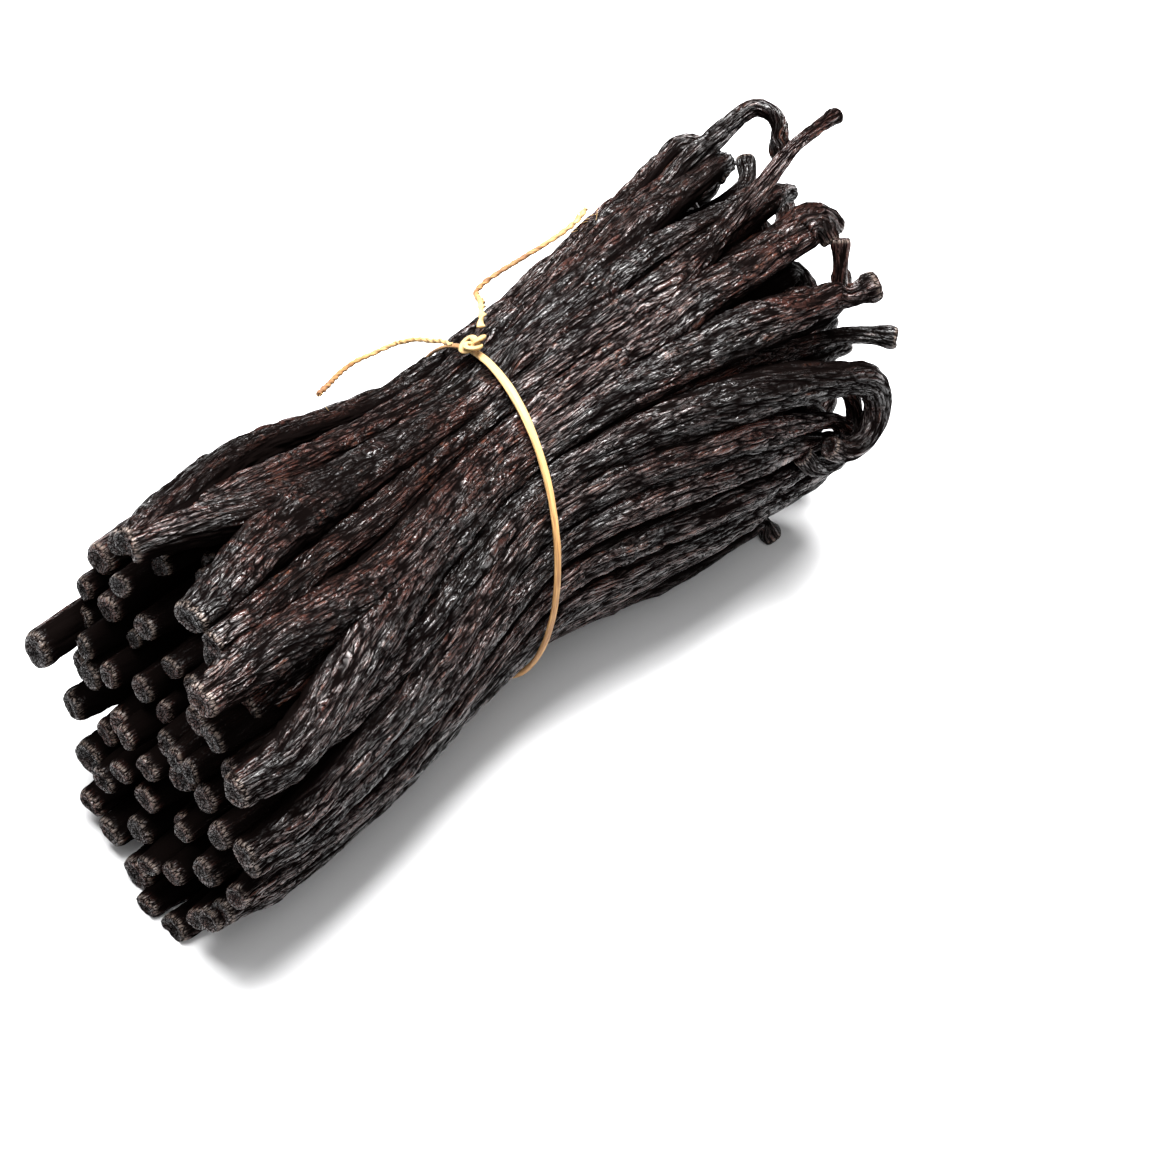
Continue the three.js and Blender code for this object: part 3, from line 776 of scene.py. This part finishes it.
def podSkinMaterial():
    material, g = newMaterial("curedPodSkin")
    skin = attribute(g, "skin", "Vector")
    seed = attribute(g, "podSeed", "Fac")
    ridge = attribute(g, "ridge", "Fac")
    tip = attribute(g, "tip", "Fac")
    # inner: the mask for the shade painted between and deep inside the pods
    inner = attribute(g, "inner", "Fac")

    def stretched(name):
        across, along = podLook[name]
        return g.vector("MULTIPLY", skin, (1 / across, 1 / across, 1 / along))

    ripple = g.noise(stretched("ripple"), seed, 2.0).out("Color")
    ripple = g.scaled(g.vector("SUBTRACT", ripple, (0.5, 0.5, 0.5)), podLook["rippled"])
    ownTone = g.add("ShaderNodeTexWhiteNoise", {"noise_dimensions": "1D"}, {"W": seed})
    across = 1 / podLook["crinkleWidth"]
    along = 1 / (podLook["crinkleLength"] + ownTone * podLook["crinkleLonger"])
    drawn = g.vector("MULTIPLY", skin, g.xyz(across, across, along))
    crinkle = g.cells(g.vector("ADD", drawn, ripple), seed)
    fine = g.cells(g.vector("ADD", stretched("fine"), ripple), seed + 3.0)
    grain = g.noise(stretched("grain"), seed + 3.3, 2.0, 0.6)
    patch = g.noise(stretched("patch"), seed + 21.0, 3.0, 0.6)
    blotch = g.noise(stretched("blotch"), seed + 55.0, 3.0, 0.6)
    browned = (patch + (ownTone - 0.5) * 0.14).ramp(0.40, 0.62)
    # red blotches kept to the ridges: partly the skin's own colour, partly painted shade that leaves the
    # creases darker
    reddened = (blotch + (ownTone - 0.5) * 0.1).ramp(0.54, 0.68) * ridge.ramp(0.3, 0.8) * 0.8
    colour = g.mix(browned, podLook["black"], podLook["brown"])
    colour = g.mix(reddened, colour, podLook["red"])

    # the tops of the wrinkles are glossier; painted shade: their bottoms are painted darker, and their
    # bottoms, the cups of the tips and the inner sides get a dull black shader mixed in
    top = ridge.ramp(0.19, 0.62) * (crinkle * 0.72 + fine * 0.28).ramp(0.22, 0.78)
    # painted shade: the crease bottoms are painted towards black
    colour = g.mix((1 - top) * 0.5, colour, podLook["black"])
    cup = tip.ramp(0.55, 0.8)
    paintedShadeMask = 1 - top * (1 - inner) * (1 - cup * 0.4)

    # a dusty rim round every tip
    rim = tip.ramp(0.18, 0.3) * (1 - tip.ramp(0.32, 0.46))
    colour = g.mix(rim * 0.9 * grain.ramp(0.3, 0.55), colour, podLook["dust"])
    rough = podLook["shine"] + (1 - top) * 0.2 + blotch.ramp(0.4, 0.6) * 0.1 + rim * 0.1
    high = crinkle + fine * 0.45 + grain * 0.06
    bump = g.add("ShaderNodeBump", {}, {"Strength": 1.0, "Distance": podLook["relief"], "Height": high})
    surface(g, podLook["fixed"], {
        "Base Color": colour,
        "Roughness": rough,
        "Normal": bump,
    }, paintedShadeMask, podLook["paintedShadeBsdf"])
    return material


raffiaLook = {
    "pale": (0.50, 0.34, 0.15, 1),
    "straw": (0.37, 0.20, 0.068, 1),
    "brown": (0.14, 0.058, 0.018, 1),
    "fixed": {"IOR": 1.45},
}


def raffiaMaterial():
    material, g = newMaterial("dryRaffia")
    skin = attribute(g, "skin", "Vector")
    seed = attribute(g, "podSeed", "Fac")
    tone = attribute(g, "tone", "Fac")
    groove = attribute(g, "ridge", "Fac")
    fibre = g.noise(g.vector("MULTIPLY", skin, (7.0, 7.0, 0.22)), seed, 3.0, 0.6)
    stain = g.noise(g.vector("MULTIPLY", skin, (0.9, 0.9, 0.14)), seed + 4.0, 3.0, 0.6)
    shade = (tone + (stain - 0.5) * 0.9 + (fibre - 0.5) * 0.7).most(0.0).least(1.0)
    colour = g.mix(shade, raffiaLook["pale"], raffiaLook["straw"])
    # browner where the tone is high and in stains, and painted shade: darker in the low grooves between
    # fibres
    dark = (tone - 0.75 + (stain - 0.5) * 0.5 + (0.5 - groove) * 0.5).ramp(0.0, 0.6)
    colour = g.mix(dark, colour, raffiaLook["brown"])
    bump = g.add("ShaderNodeBump", {}, {"Strength": 0.7, "Distance": 0.00015, "Height": fibre})
    surface(g, raffiaLook["fixed"], {
        "Base Color": colour,
        "Roughness": 0.5 + fibre * 0.25,
        "Normal": bump,
    })
    return material


raffia = {
    "groove": 0.17,
    "proud": 0.1,
    "halfWidth": 0.82,
    "halfThick": 0.36,
    # what the tie loses and gains down the front, where it is thin
    "narrows": 0.2, "thickens": 0.1, "twists": 0.5, "darkens": 0.62,
    "sway": 0.25,
    "tone": 0.3,
    "knotX": 7, "knotAngle": -18, "knotHeight": 1.1, "knotRadius": 1.15,
    "knotHalf": 0.62, "knotSwells": 0.12, "knotFlat": 0.62,
    "tailDiameter": 1.3,
}
# a tail's route goes by x, the angle round the bundle and how far it stands off
leftTail = {
    "route": [
        (5.2, -25, 1.6), (5.6, -28.5, 1.5), (6, -32, 1.5), (6.2, -36, 1.5), (6.3, -40, 1.7),
        (6.1, -43.5, 2.4), (5.6, -47, 3.2), (4.7, -49.8, 3.9), (3.5, -52, 4.6), (0, -53.5, 5.6),
        (-4, -52, 5.9), (-8, -49, 5.6), (-11.5, -46, 5), (-14.5, -44, 4.3), (-17, -43, 3.8),
    ],
    "halfWidth": [0.55, 0.5, 0.5, 0.62],
    "halfThick": [0.3, 0.42, 0.42, 0.4],
    "turns": [4, 8, 14, 16],
    "tones": [0.4, 0.6, 0.85, 1.3],
    "seed": 5.0,
    "fray": {"count": 16, "length": 5, "spread": 0.6, "seed": 11},
}
rightTail = {
    "route": [
        (10.5, -21, 1.7), (11.7, -23.5, 1.6), (13, -26, 1.6), (14.2, -29, 1.6), (15.5, -32, 1.6),
        (16.8, -35.5, 1.6), (18, -39, 1.6), (20, -46, 1.9), (22, -51, 2.7), (25, -52.5, 3.1),
        (29, -52, 2.9), (33, -51, 2.5), (37.5, -50, 2.1), (42, -50, 1.9), (46, -50, 2.1), (49, -50, 2.9),
    ],
    "halfWidth": [0.85, 0.8, 0.6, 0.5, 0.62],
    "halfThick": [0.28, 0.3, 0.42, 0.45, 0.4],
    "turns": [3, 4, 12, 16, 14],
    "tones": [0.15, 0.3, 0.95, 1.1, 0.3],
    "seed": 6.0,
    "fray": {"count": 26, "length": 6.5, "spread": 0.35, "seed": 12},
}
fibre = {"steps": 12, "rootHalf": 0.07, "tipHalf": 0.025, "apart": 0.15, "bend": 0.16}


def strandTree(material):
    g = Graph(bpy.data.node_groups.new("sweptStrands", "GeometryNodeTree"))
    given = g.inputs({"Sides": 16, "Rows": 60, "End Rows": 1, "Groove": raffia["groove"]})
    tube = tubeAlong(g, given)
    halfWidth, halfDepth, seed = g.split(tube["size"])
    twist, tone, _ = g.split(tube["extra"])
    wide, deep = turnedAxes(g, tube["outward"], tube["run"], twist)
    cos = tube["turn"].math("COSINE")
    sin = tube["turn"].math("SINE")
    v = tube["v"]
    fibres = abs(g.noise(g.xyz(cos * 2.1, sin * 2.1, v / 9), seed + 2.2, 2.0) * 2 - 1) * 2.2
    fibres = fibres.least(1.0)
    shrink = 1 - tube["atFirst"].most(tube["atLast"])
    across = (1 + (fibres - 0.6) * given.out("Groove")) * shrink
    thin = (1 + (fibres - 0.6) * given.out("Groove") * 2.2) * shrink
    ring = g.vector("ADD", g.scaled(wide, cos * halfWidth * across), g.scaled(deep, sin * halfDepth * thin))
    place = g.vector("ADD", tube["middle"], ring)
    shaped = g.add("GeometryNodeSetPosition", {}, {"Geometry": tube["tube"], "Position": place})
    radius = halfWidth / mm
    return finished(g, shaped, {
        "skin": ("FLOAT_VECTOR", g.xyz(cos * radius, sin * radius, v)),
        "podSeed": ("FLOAT", seed),
        "ridge": ("FLOAT", fibres),
        "tone": ("FLOAT", tone),
    }, material)


def tailLine(tail):
    # a tail as a sweepable line: its sizes and tones go from its first point to its last
    knots = np.vstack([pointAt(x, angle, 1, proud) for x, angle, proud in tail["route"]])
    count = 70
    points = catmullRom(knots, np.linspace(0, len(knots) - 1, count))
    t = np.linspace(0, 1, count)

    def between(name):
        return np.interp(t, np.linspace(0, 1, len(tail[name])), tail[name])

    centreY, centreZ = outlineAt(points[:, 0])[2:]
    outward = unit(np.stack([0 * t + 0.01, points[:, 1] - centreY, points[:, 2] - centreZ], axis=1))
    turned = np.concatenate([[0], np.cumsum(between("turns")[1:])]) * 2 * math.pi / count
    extra = np.stack([turned, between("tones"), 0 * t], axis=1)
    return {"points": points, "half": between("halfWidth"), "thick": between("halfThick"),
            "outward": outward, "seed": tail["seed"], "extra": extra}


def fibreLines(line, count, length, spread, seed):
    # loose fibres that fray from the end of a strand
    rng = np.random.default_rng(seed)
    points = line["points"]
    run = unit(points[-1] - points[-6])
    fibres = []
    steps = fibre["steps"]
    for i in range(count):
        start = points[-1 - rng.integers(0, 12)] + rng.normal(0, fibre["apart"], 3)
        way = unit(run + rng.normal(0, spread, 3))
        bend = rng.normal(0, fibre["bend"], 3)
        path = [start]
        reach = length * rng.uniform(0.4, 1)
        for _ in range(steps):
            way = unit(way + bend)
            path.append(path[-1] + way * reach / steps)
        path = np.array(path)
        thick = np.linspace(fibre["rootHalf"], fibre["tipHalf"], steps + 1) * rng.uniform(0.7, 1.3)
        outward = np.tile([0.2, -0.3, 1.0], (steps + 1, 1))
        extra = np.tile([0.0, rng.uniform(0.1, 0.7), 0.0], (steps + 1, 1))
        fibres.append({"points": path, "half": thick, "thick": thick, "outward": outward, "seed": seed + i,
                       "extra": extra})
    return fibres


def tieLine():
    # once round the waist, from under the knot and back to it
    turns = np.linspace(raffia["knotAngle"] - 4, raffia["knotAngle"] + 364, 160)
    thin = smooth((turns + 6) / 62) * (1 - smooth((turns - 250) / 70))
    halfWidth = raffia["halfWidth"] - raffia["narrows"] * thin
    halfThick = raffia["halfThick"] + raffia["thickens"] * thin
    points = pointAt(0 * turns, turns, 1, raffia["proud"] + raffia["thickens"] * thin)
    points[:, 0] = leanAt(0 * turns, turns, 1)
    centreY, centreZ = outlineAt(0)[2:]
    outward = unit(np.stack([0 * turns, points[:, 1] - centreY, points[:, 2] - centreZ], axis=1))
    twist = raffia["sway"] * np.sin(np.radians(turns) * 3) + raffia["twists"] * thin
    tone = raffia["tone"] + raffia["darkens"] * smooth((turns + 4) / 80)
    extra = np.stack([twist, tone, 0 * turns], axis=1)
    return {"points": points, "half": halfWidth, "thick": halfThick, "outward": outward, "seed": 3.3,
            "extra": extra}


def knotLines():
    # an overhand knot: a trefoil pulled flat against the bundle
    t = np.linspace(0, 2 * math.pi, 90)
    radius = raffia["knotRadius"]
    along = radius * (2 + np.cos(3 * t)) * np.cos(2 * t) / 1.5
    across = radius * (2 + np.cos(3 * t)) * np.sin(2 * t) / 2.1
    high = 0.62 * np.sin(3 * t)
    a = math.radians(raffia["knotAngle"])
    centre = pointAt(raffia["knotX"], raffia["knotAngle"], 1, raffia["knotHeight"])
    front = np.array([0, -math.cos(a), -math.sin(a)])
    out = np.array([0, -math.sin(a), math.cos(a)])
    points = centre + along[:, None] * np.array([1, 0, 0]) + across[:, None] * front + high[:, None] * out
    half = raffia["knotHalf"] + raffia["knotSwells"] * np.sin(5 * t)
    extra = np.stack([0.5 * np.sin(2 * t), 0.2 + 0.25 * np.sin(t + 1) ** 2, 0 * t], axis=1)
    return [{"points": points, "half": half, "thick": half * raffia["knotFlat"],
             "outward": np.tile(out, (len(t), 1)), "seed": 8.1, "extra": extra}]


podMaterial = podSkinMaterial()
raffiaSkin = raffiaMaterial()
strands = strandTree(raffiaSkin)
pods = podTree(podMaterial)


def strandPiece(name, lines, sides, rows):
    return sweep(name, lines, strands, {"Sides": sides, "Rows": rows})


leftLine = tailLine(leftTail)
rightLine = tailLine(rightTail)
tieStrand = strandPiece("raffiaTie", [tieLine()], 30, 320)
knotStrand = strandPiece("raffiaKnot", knotLines(), 20, 170)
leftStrand = strandPiece("raffiaTailLeft", [leftLine], 14, 220)
rightStrand = strandPiece("raffiaTailRight", [rightLine], 14, 220)
leftFray = strandPiece("raffiaFrayLeft", fibreLines(leftLine, **leftTail["fray"]), 5, 20)
rightFray = strandPiece("raffiaFrayRight", fibreLines(rightLine, **rightTail["fray"]), 5, 20)

for strand in (tieStrand, knotStrand, leftStrand, rightStrand, leftFray, rightFray):
    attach(strand, "root")
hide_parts("raffia_tie")
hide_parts("raffia_knot")
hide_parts("raffia_tail_left")
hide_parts("raffia_tail_right")
print("raffia done")

# how fine the tubes are: the more of a pod shows, the finer
tubes = {
    "near": {"sides": 126, "rows": 190},
    "stray": {"sides": 62, "rows": 100},
    "hidden": {"sides": 52, "rows": 88},
    "bluntEnd": {"sides": 32, "rows": 33, "endRows": 8, "relief": 0.6},
    "stemEnd": {"sides": 25, "rows": 35, "endRows": 7, "relief": 0.7},
}
# the inner pods show at their two ends alone
inside = {"bluntTo": -34, "stemFrom": 38}
podPieces = []


def podPiece(name, lines, sides, rows, endRows=9, relief=1.0):
    piece = sweep(name, lines, pods, {"Sides": sides, "Rows": rows, "End Rows": endRows, "Relief": relief})
    podPieces.append(piece)


front = numbered(frontPods, 1, out=0.88)
side = numbered(sidePods, 11, out=0.88)
stray = numbered(strayPods, 21, size=0.85)
hidden = numbered(ringPods(0), 31)
inner = numbered([pod for r in range(1, len(rings)) for pod in ringPods(r)], 51)
bluntLines = [podLine(pod, toX=inside["bluntTo"]) for pod in inner]
stemLines = [podLine(pod, fromX=inside["stemFrom"]) for pod in inner]
podPiece("podsOnTop", [podLine(pod) for pod in front[:4]], **tubes["near"])
podPiece("podsInFront", [podLine(pod) for pod in front[4:] + side[:2]], **tubes["near"])
podPiece("podsLowInFront", [podLine(pod) for pod in side[2:]], **tubes["near"])
podPiece("podsStray", [podLine(pod) for pod in stray], **tubes["stray"])
podPiece("podsUnderneath", [podLine(pod) for pod in hidden[:6]], **tubes["hidden"])
podPiece("podsBehind", [podLine(pod) for pod in hidden[6:]], **tubes["hidden"])
podPiece("podsInnerBlunt", bluntLines, **tubes["bluntEnd"])
podPiece("podsInnerStem", stemLines, **tubes["stemEnd"])


# painted shade: a near-black core put deep between the pods, where only shade shows
shadeCore = {
    "share": 0.7,
    "from": -58,
    "to": 46,
    "sides": 72,
    "rows": 44,
    "lobes": 18,
    "lobe": 1.4,
    "streaks": (60.0, 700.0, 700.0),  # to a metre
    # near-black colours and little reflection: painted shade
    "black": (0.0015, 0.0011, 0.001, 1),
    "brown": (0.006, 0.0035, 0.003, 1),
    "fixed": {"IOR": 1.45, "Specular IOR Level": 0.1},
}


def shadeCoreMaterial():
    material, g = newMaterial("paintedShadeCore")
    coordinates = g.add("ShaderNodeTexCoord").out("Object")
    streak = g.noise(g.vector("MULTIPLY", coordinates, shadeCore["streaks"]), 2.0, 3.0)
    colour = g.mix(streak, shadeCore["black"], shadeCore["brown"])
    bump = g.add("ShaderNodeBump", {}, {"Strength": 0.6, "Distance": 0.0005, "Height": streak})
    surface(g, shadeCore["fixed"], {"Base Color": colour, "Roughness": 0.6 + streak * 0.2, "Normal": bump})
    return material


def makeShadeCore():
    # the near-black middle, painted shade, that the inner pods' ends stand out of
    verts = []
    for row in range(shadeCore["rows"] + 1):
        t = row / shadeCore["rows"]
        x = shadeCore["from"] + (shadeCore["to"] - shadeCore["from"]) * t
        ending = math.sin(math.pi * t) ** 0.12 if 0 < row < shadeCore["rows"] else 0.0
        for i in range(shadeCore["sides"]):
            angle = 360 * i / shadeCore["sides"]
            wave = shadeCore["lobe"] * abs(math.sin(math.radians(angle) * shadeCore["lobes"] / 2 + x / 60))
            point = pointAt(x, angle, shadeCore["share"] * ending, wave * ending)
            point[0] += float(leanAt(x, angle, shadeCore["share"] * ending))
            verts.append(point)
    faces = []
    for row in range(shadeCore["rows"]):
        for i in range(shadeCore["sides"]):
            j = (i + 1) % shadeCore["sides"]
            low = row * shadeCore["sides"]
            high = low + shadeCore["sides"]
            faces.append((low + i, low + j, high + j, high + i))
    mesh = bpy.data.meshes.new("paintedShadeCore")
    mesh.from_pydata(inFrame(np.array(verts)).tolist(), [], faces)
    mesh.materials.append(shadeCoreMaterial())
    mesh.shade_smooth()
    piece = bpy.data.objects.new("paintedShadeCore", mesh)
    bpy.context.scene.collection.objects.link(piece)
    return piece


podPieces.append(makeShadeCore())
for piece in podPieces:
    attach(piece, "root")
    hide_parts("pod_bundle")
print("pods done")


studio = {
    "floorReach": 4.0,
    "floor": {"Base Color": (0.58, 0.58, 0.585, 1), "Roughness": 0.7},
    "world": 0.08,
}


def makeFloor():
    mesh = bpy.data.meshes.new("floor")
    reach = studio["floorReach"]
    corners = [(-reach, -reach, 0), (reach, -reach, 0), (reach, reach, 0), (-reach, reach, 0)]
    mesh.from_pydata(corners, [], [(0, 1, 2, 3)])
    material, g = newMaterial("paleTable")
    surface(g, studio["floor"], {})
    mesh.materials.append(material)
    floor = bpy.data.objects.new("floor", mesh)
    bpy.context.scene.collection.objects.link(floor)


lights = [
    # how far along the camera's right, towards the back and up, in metres, then size and power
    {"name": "key", "aside": -0.08, "back": 0.08, "up": 0.96, "size": 0.7, "power": 38},
    {"name": "top", "aside": 0.28, "back": 0.32, "up": 0.9, "size": 0.35, "power": 18},
    {"name": "fill", "aside": 0.15, "back": -0.6, "up": 0.75, "size": 0.9, "power": 8},
]


def makeLights():
    right, _, forward = viewAxes()
    back = unit(np.array([forward[0], forward[1], 0]))
    centre = inFrame(view["target"])
    for light in lights:
        data = bpy.data.lights.new(light["name"], "AREA")
        data.size = light["size"]
        data.energy = light["power"]
        lamp = bpy.data.objects.new(light["name"], data)
        bpy.context.scene.collection.objects.link(lamp)
        offset = right * light["aside"] + back * light["back"] + np.array([0, 0, light["up"]])
        lamp.location = centre + offset
        lamp.rotation_euler = Vector(-offset).to_track_quat("-Z", "Y").to_euler()
    world = bpy.data.worlds.new("studio")
    world.use_nodes = True
    background = world.node_tree.nodes["Background"]
    background.inputs["Color"].default_value = (1, 1, 1, 1)
    background.inputs["Strength"].default_value = studio["world"]
    bpy.context.scene.world = world
    bpy.context.scene.view_settings.view_transform = "Standard"


makeFloor()
makeLights()
print("lights done")
